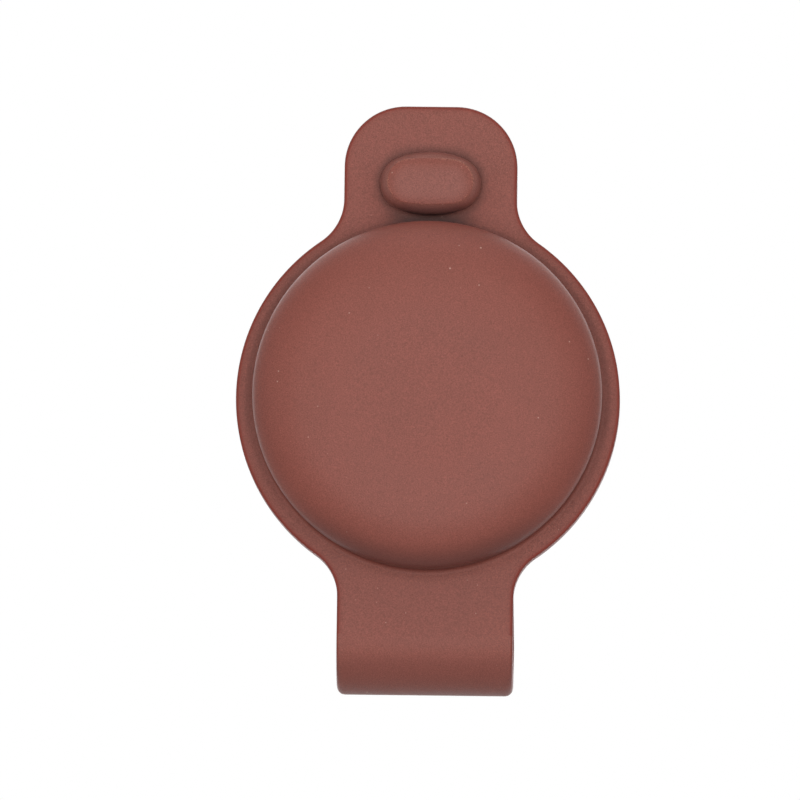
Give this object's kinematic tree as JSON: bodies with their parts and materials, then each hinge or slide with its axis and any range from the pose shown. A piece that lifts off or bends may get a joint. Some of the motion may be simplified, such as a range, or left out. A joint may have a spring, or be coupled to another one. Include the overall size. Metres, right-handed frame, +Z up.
{
  "type": "tracker tag holder",
  "caption": "Soft silicone holder with a round pocket for a coin-shaped tracker tag and a strap that folds round a collar and buttons shut.",
  "frame": {"origin": "middle of the channel that a collar runs through, between the plate's back and the strap", "axes": "+Z up from the fold to the tab, +X along the collar, -Y out of the pocket's face"},
  "size_m": [0.0384, 0.0191, 0.0587],
  "materials": {
    "silicone": "matte silicone rubber, red-brown",
    "white_plastic": "moulded white plastic",
    "copper": "bright copper alloy",
    "steel": "nickel-plated steel",
    "polished_steel": "polished stainless steel",
    "cell_metal": "nickel-plated cap",
    "board": "solder resist",
    "chips": "moulded epoxy",
    "seal": "soft rubber",
    "foam": "closed-cell foam"
  },
  "bodies": {
    "front": {"front_body": "silicone", "tag_shell": "white_plastic", "antenna_carrier": "white_plastic", "speaker_coil": "copper", "speaker_magnet": "steel", "circuit_board": "board", "board_parts": "chips", "battery_contacts": "copper", "battery_tray": "white_plastic", "bay_seal": "seal", "cell_can": "steel", "cell_gasket": "seal", "cell_cap": "cell_metal"},
    "hinge_front": {"fold_front": "silicone"},
    "hinge_bottom": {"fold_bottom": "silicone"},
    "hinge_back": {"fold_back": "silicone"},
    "strap": {"back_strap": "silicone", "closure_stud": "silicone"},
    "cover": {"battery_cover": "polished_steel", "lock_ring": "white_plastic", "cover_pad": "foam"}
  },
  "joints": [
    {"name": "strap_fold", "type": "hinge", "parent": "front", "child": "hinge_front", "pos_m": [0, -0.00416, -0.00842], "axis": [-1, 0, 0], "range_deg": [0, 45], "stiffness_Nm_per_rad": 0.009, "deforming": ["closure_stud", "fold_front"]},
    {"name": "strap_fold_2", "type": "hinge", "parent": "hinge_front", "child": "hinge_bottom", "pos_m": [0, -0.00172, -0.01086], "axis": [-1, 0, 0], "range_deg": [0, 45], "stiffness_Nm_per_rad": 0.009, "deforming": ["fold_front", "fold_bottom"]},
    {"name": "strap_fold_3", "type": "hinge", "parent": "hinge_bottom", "child": "hinge_back", "pos_m": [0, 0.00172, -0.01086], "axis": [-1, 0, 0], "range_deg": [0, 45], "stiffness_Nm_per_rad": 0.009, "deforming": ["fold_bottom", "fold_back"]},
    {"name": "strap_fold_4", "type": "hinge", "parent": "hinge_back", "child": "strap", "pos_m": [0, 0.00416, -0.00842], "axis": [-1, 0, 0], "range_deg": [0, 45], "stiffness_Nm_per_rad": 0.009, "deforming": ["fold_back"]},
    {"name": "cover_turn", "type": "hinge", "parent": "front", "child": "cover", "pos_m": [0, -0.0041, 0.017], "axis": [0, 1, 0], "range_deg": [0, 30]}
  ],
  "couplings": [
    {"joint": "strap_fold_2", "follows": "strap_fold", "ratio": 1},
    {"joint": "strap_fold_3", "follows": "strap_fold", "ratio": 1},
    {"joint": "strap_fold_4", "follows": "strap_fold", "ratio": 1}
  ]
}
